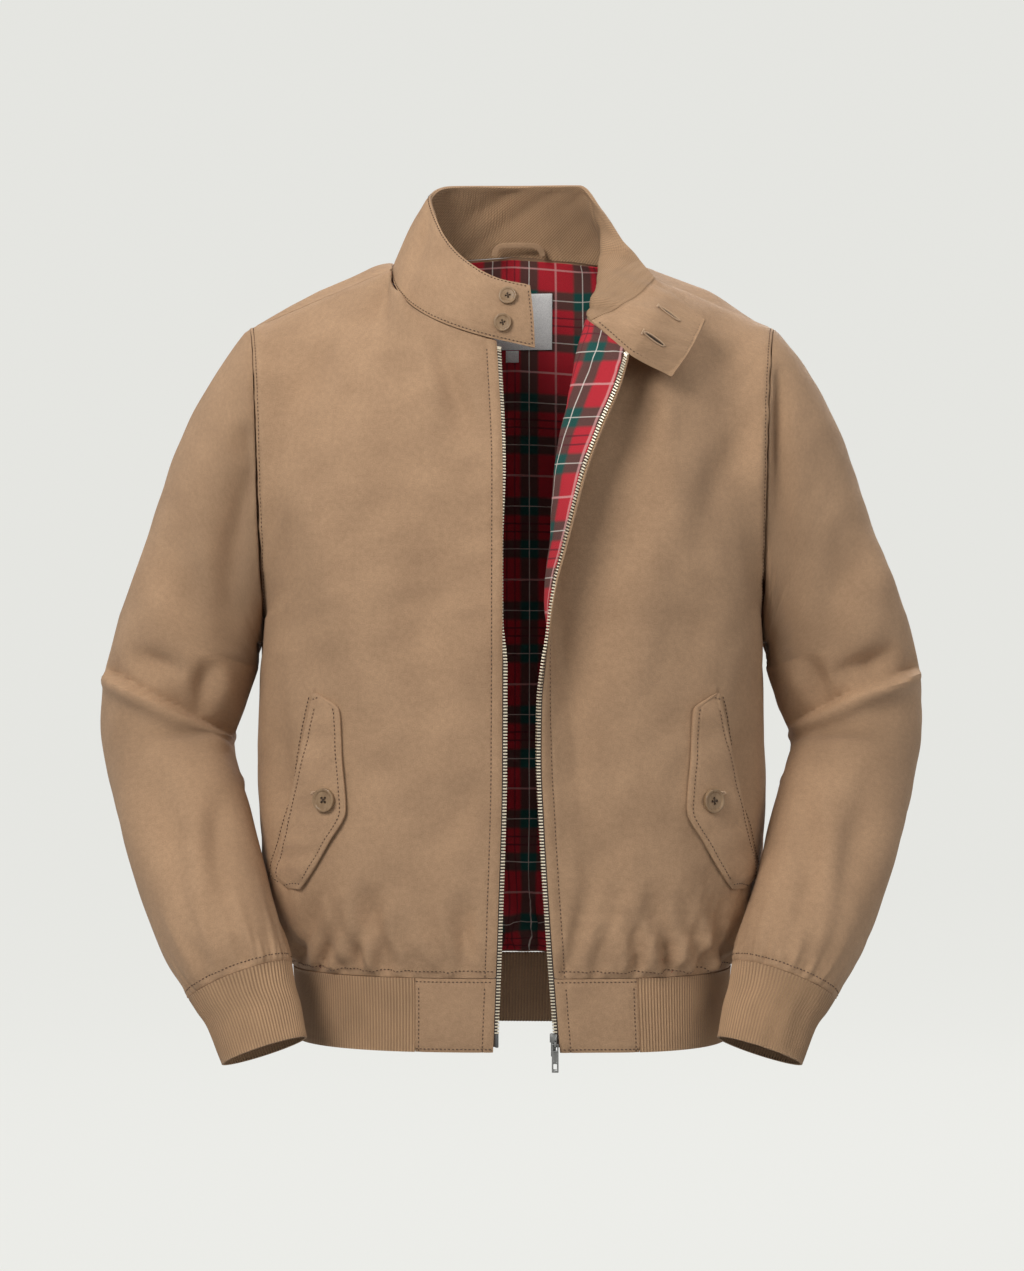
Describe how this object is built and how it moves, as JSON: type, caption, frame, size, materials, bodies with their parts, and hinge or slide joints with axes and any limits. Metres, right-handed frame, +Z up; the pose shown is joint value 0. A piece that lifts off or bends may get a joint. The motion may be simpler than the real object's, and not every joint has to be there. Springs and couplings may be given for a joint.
{
  "type": "harrington jacket, filled out as worn",
  "caption": "Short zip jacket in woven cloth, filled out as on a body with no wearer: stand collar half open, rib hem and cuffs, slanted flap pockets, checked lining.",
  "frame": {"origin": "middle of the neck opening at the height of the two neck points", "axes": "+Z up, +X towards the wearer's left, +Y towards the back"},
  "size_m": [0.7064, 0.2986, 0.7548],
  "materials": {
    "woven_shell": "tan cotton twill with a slight sheen",
    "rib_knit": "tan fine rib knit",
    "checked_lining": "red, green and navy tartan with white and pink lines",
    "label_cloth": "blank white woven label",
    "zip_tape": "dark brown woven tape",
    "zip_teeth": "pale brass teeth",
    "dark_metal": "gunmetal",
    "horn": "mottled horn"
  },
  "bodies": {
    "jacket": {"front_right": "woven_shell", "front_left": "woven_shell", "back": "woven_shell", "sleeve_right": "woven_shell", "sleeve_left": "woven_shell", "cuff_right": "rib_knit", "cuff_left": "rib_knit", "hem_rib": "rib_knit", "hem_end_right": "woven_shell", "hem_end_left": "woven_shell", "collar": "woven_shell", "collar_rib": "rib_knit", "collar_end_facing": "woven_shell", "collar_tab_facing": "woven_shell", "lining_back": "checked_lining", "lining_front_right": "checked_lining", "lining_front_left": "checked_lining", "pocket_flap_right": "woven_shell", "pocket_flap_left": "woven_shell", "pocket_button_right": "horn", "pocket_button_left": "horn", "collar_button_top": "horn", "collar_button_low": "horn", "zip_tape_right": "zip_tape", "zip_tape_left": "zip_tape", "zip_teeth_right": "zip_teeth", "zip_teeth_left": "zip_teeth", "zip_pin": "dark_metal", "zip_slider": "dark_metal", "zip_box": "dark_metal", "label": "label_cloth", "size_tab": "label_cloth", "hanger_loop": "woven_shell"},
    "pull_tab": {"zip_pull": "dark_metal"}
  },
  "joints": [
    {"name": "pull_tab_hinge", "type": "hinge", "parent": "jacket", "child": "pull_tab", "pos_m": [0.03553, -0.13033, -0.6508], "axis": [-1, 0, 0], "range_deg": [0, 150]}
  ]
}
